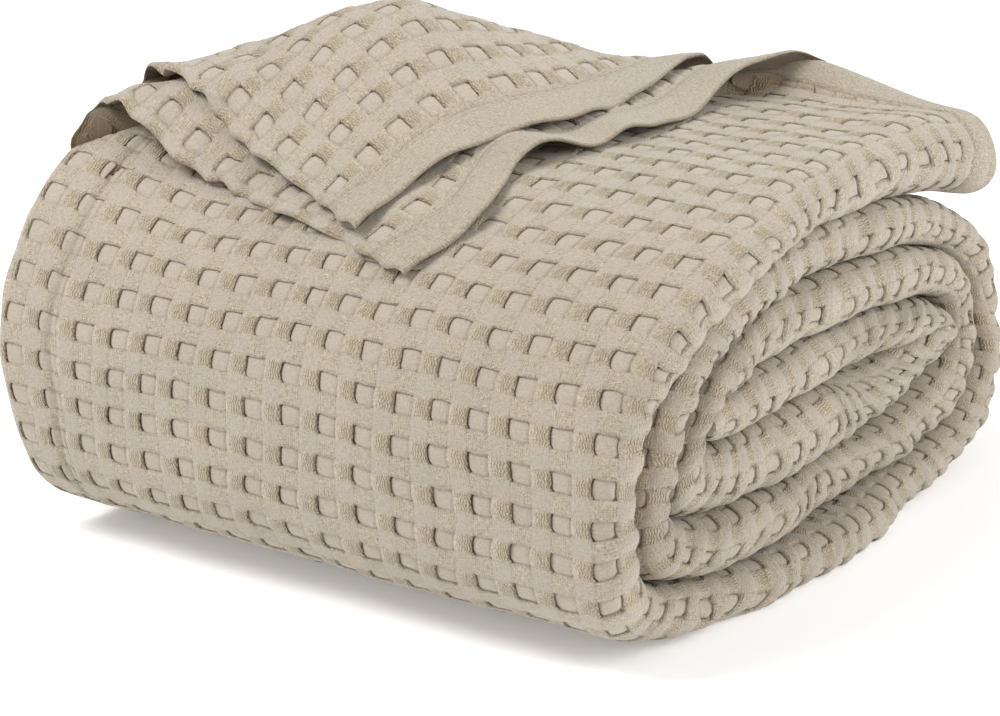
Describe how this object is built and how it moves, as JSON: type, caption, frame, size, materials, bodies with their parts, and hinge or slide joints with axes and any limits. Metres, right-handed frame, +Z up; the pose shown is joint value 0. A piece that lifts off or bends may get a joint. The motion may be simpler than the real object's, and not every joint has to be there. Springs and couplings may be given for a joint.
{
  "type": "waffle weave cotton blanket",
  "caption": "Waffle weave cotton blanket, folded lengthwise and rolled, with its loose end turned back over the top",
  "frame": {"origin": "on the ground, under the middle of the roll's bounding box", "axes": "+X along the roll towards the side with the one big fold, -Y towards the front that the turned-back corner points to, +Z up"},
  "size_m": [0.3434, 0.368, 0.2301],
  "materials": {
    "cotton": "matte"
  },
  "bodies": {
    "root": {"blanket": "cotton"}
  },
  "joints": []
}
